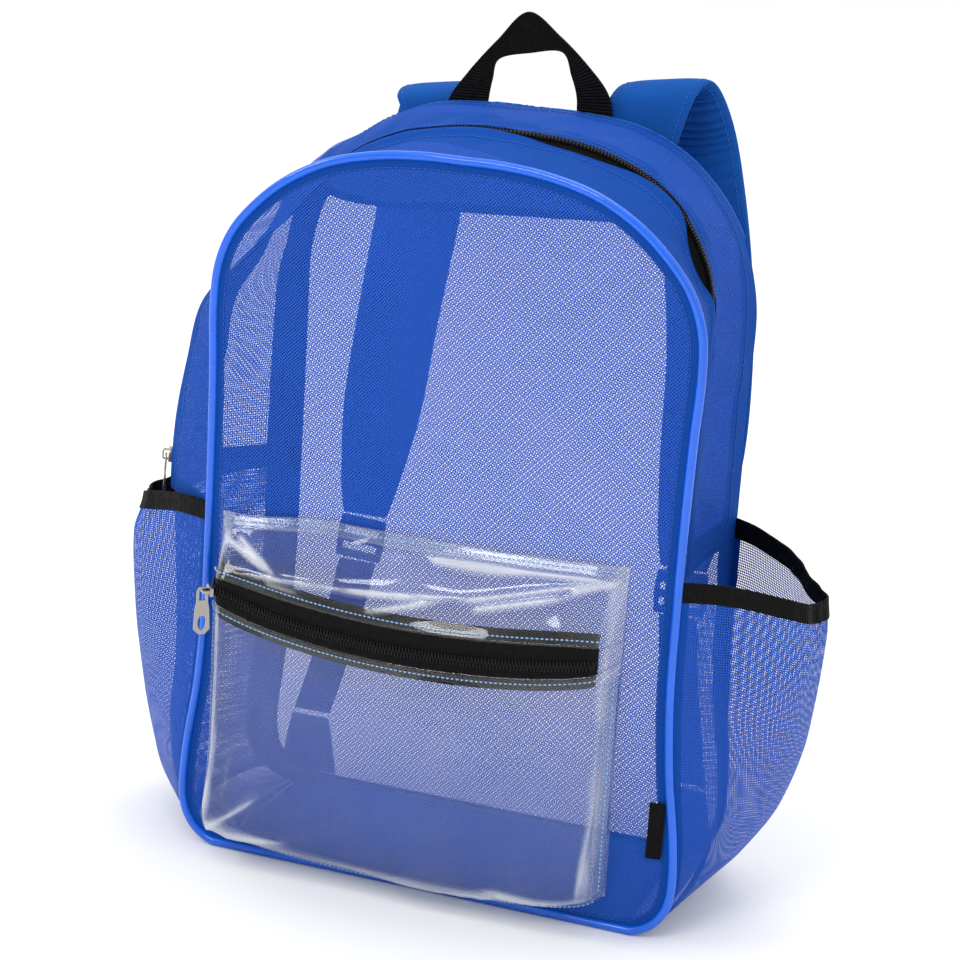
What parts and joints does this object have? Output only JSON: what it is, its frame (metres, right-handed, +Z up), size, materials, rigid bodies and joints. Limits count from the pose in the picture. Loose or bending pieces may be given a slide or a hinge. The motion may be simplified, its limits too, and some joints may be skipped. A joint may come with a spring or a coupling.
{
  "type": "mesh backpack",
  "caption": "See-through mesh day pack with an arched zip opening, clear zipped front pocket, elastic-topped side pockets, padded shoulder straps and a webbing handle.",
  "frame": {"origin": "on the ground under the middle of the base, midway between the front piping and the back seam", "axes": "+Z up, -Y the way the front panel faces, +X to the right of someone looking at the front"},
  "size_m": [0.4478, 0.2285, 0.5185],
  "materials": {
    "mesh": "open plain-weave polyester mesh",
    "woven": "closed twill polyester",
    "piping": "glossy soft vinyl cord",
    "black_webbing": "ribbed woven webbing and tape",
    "coil": "nylon coil teeth",
    "clear": "clear flexible vinyl sheet",
    "silver": "nickel-plated die casting",
    "buckle": "moulded plastic"
  },
  "bodies": {
    "bag": {"front_panel": "mesh", "front_piping": "piping", "back_panel": "mesh", "back_yoke": "woven", "gusset_front_strip": "mesh", "gusset_back_strip": "mesh", "main_zip_tape": "black_webbing", "main_zip_coil": "coil", "main_slider": "silver", "side_panel_right": "mesh", "side_panel_left": "mesh", "base_panel": "woven", "side_pocket_right": "mesh", "side_pocket_left": "mesh", "pocket_binding_right": "black_webbing", "pocket_binding_left": "black_webbing", "vinyl_lower": "clear", "vinyl_upper": "clear", "vinyl_zip_end": "clear", "pocket_zip_tape": "black_webbing", "pocket_zip_coil": "coil", "pocket_slider": "silver", "handle": "black_webbing", "shoulder_strap_right": "woven", "shoulder_strap_left": "woven", "strap_webbing_right": "black_webbing", "strap_webbing_left": "black_webbing", "strap_adjuster_right": "buckle", "strap_adjuster_left": "buckle", "strap_anchor_right": "woven", "strap_anchor_left": "woven", "seam_label": "black_webbing"},
    "main_pull": {"main_pull": "silver"},
    "pocket_pull": {"pocket_pull": "silver"}
  },
  "joints": [
    {"name": "main_pull_swing", "type": "hinge", "parent": "bag", "child": "main_pull", "pos_m": [-0.20044, -0.01677, 0.23281], "axis": [-0.4048, 0.9142, 0.0169], "range_deg": [0, 165]},
    {"name": "pocket_pull_swing", "type": "hinge", "parent": "bag", "child": "pocket_pull", "pos_m": [-0.13429, -0.09863, 0.17814], "axis": [-0.6658, 0.7461, 0], "range_deg": [0, 165]}
  ]
}
